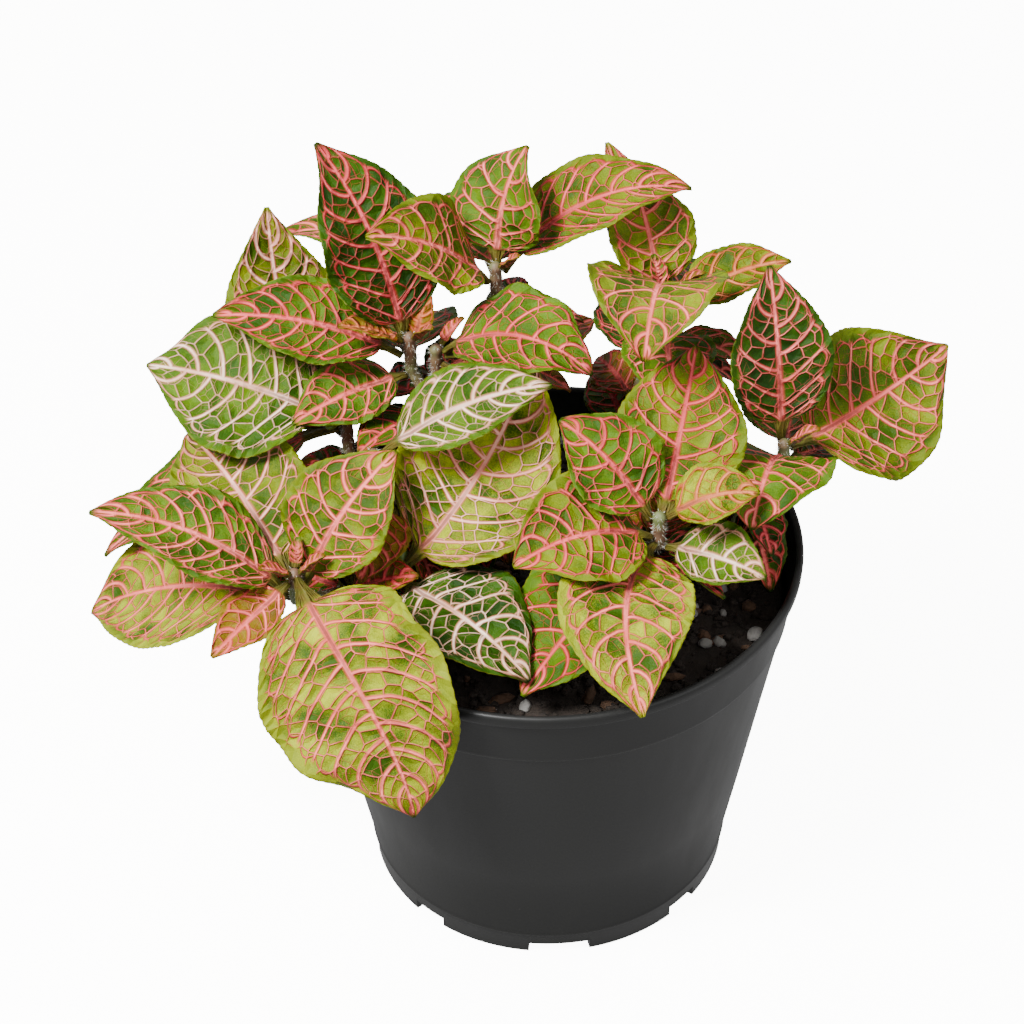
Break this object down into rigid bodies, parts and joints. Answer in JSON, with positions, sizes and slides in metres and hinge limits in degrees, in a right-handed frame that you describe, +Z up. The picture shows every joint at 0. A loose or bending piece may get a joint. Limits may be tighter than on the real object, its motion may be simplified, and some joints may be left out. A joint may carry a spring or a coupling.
{
  "type": "potted nerve plant",
  "caption": "Leafy nerve plant with pink-veined green leaves, growing in a round black nursery pot with a rolled rim.",
  "frame": {"origin": "on the floor under the middle of the whole plant's bounding box; the pot's axis is about 7 mm to +X and 6 mm to -Y of it", "axes": "+Z up; -Y is the front that the picture shows; +X to the right seen from the front"},
  "size_m": [0.204, 0.1426, 0.1791],
  "materials": {
    "black_plastic": "satin injection-moulded, near-black",
    "peat": "rough, crumbly dark potting mix with grey and brown bits",
    "stem_green": "green to brown, fine white hairs",
    "leaf_dark": "satin dark green with pink veins",
    "leaf_olive": "satin olive green with pink veins",
    "leaf_lime": "satin yellow-green with pink and white veins",
    "leaf_young": "satin orange-tinted young leaf"
  },
  "bodies": {
    "root": {"leaf_arching_back_left": "leaf_dark", "leaf_back_high": "leaf_dark", "leaf_back_left_broad": "leaf_dark", "leaf_back_right_broad": "leaf_dark", "leaf_back_right_low": "leaf_dark", "leaf_big_left_pale": "leaf_lime", "leaf_centre_arching": "leaf_olive", "leaf_centre_big": "leaf_lime", "leaf_centre_dark": "leaf_dark", "leaf_centre_top": "leaf_olive", "leaf_centre_under": "leaf_olive", "leaf_far_left_thin": "leaf_olive", "leaf_front_inner_dark": "leaf_dark", "leaf_front_inner_pale": "leaf_olive", "leaf_front_left_big": "leaf_lime", "leaf_front_pointed": "leaf_olive", "leaf_front_small_red": "leaf_olive", "leaf_inner_left_dark": "leaf_dark", "leaf_left_broad": "leaf_olive", "leaf_left_hidden_dark": "leaf_dark", "leaf_left_low_broad": "leaf_dark", "leaf_left_pointing": "leaf_olive", "leaf_left_rising": "leaf_olive", "leaf_left_small_low": "leaf_dark", "leaf_left_small_right": "leaf_young", "leaf_left_spear": "leaf_olive", "leaf_right_big": "leaf_lime", "leaf_right_dark_upright": "leaf_dark", "leaf_right_drooping": "leaf_olive", "leaf_right_front_oval": "leaf_lime", "leaf_right_inner_brown": "leaf_young", "leaf_right_inner_upper": "leaf_olive", "leaf_right_low_small": "leaf_dark", "leaf_right_oval": "leaf_lime", "leaf_right_side_low": "leaf_dark", "leaf_right_small_bright": "leaf_young", "leaf_right_upper_broad": "leaf_olive", "leaf_tall_upright": "leaf_olive", "leaf_top_back": "leaf_dark", "leaf_top_left_reaching": "leaf_olive", "leaf_top_long": "leaf_olive", "leaf_top_right_folding": "leaf_olive", "leaf_top_right_pointing": "leaf_olive", "leaf_top_right_upright": "leaf_olive", "leaf_top_upright": "leaf_olive", "leaf_upper_left_cupped": "leaf_olive", "leaf_young_left": "leaf_young", "leaf_young_right": "leaf_young", "pot": "black_plastic", "soil": "peat", "stem_a": "stem_green", "stem_b": "stem_green", "stem_c": "stem_green", "stem_d": "stem_green", "stem_e": "stem_green", "stem_f": "stem_green", "stem_g": "stem_green", "stem_h": "stem_green", "stem_i": "stem_green", "stem_j": "stem_green"}
  },
  "joints": []
}
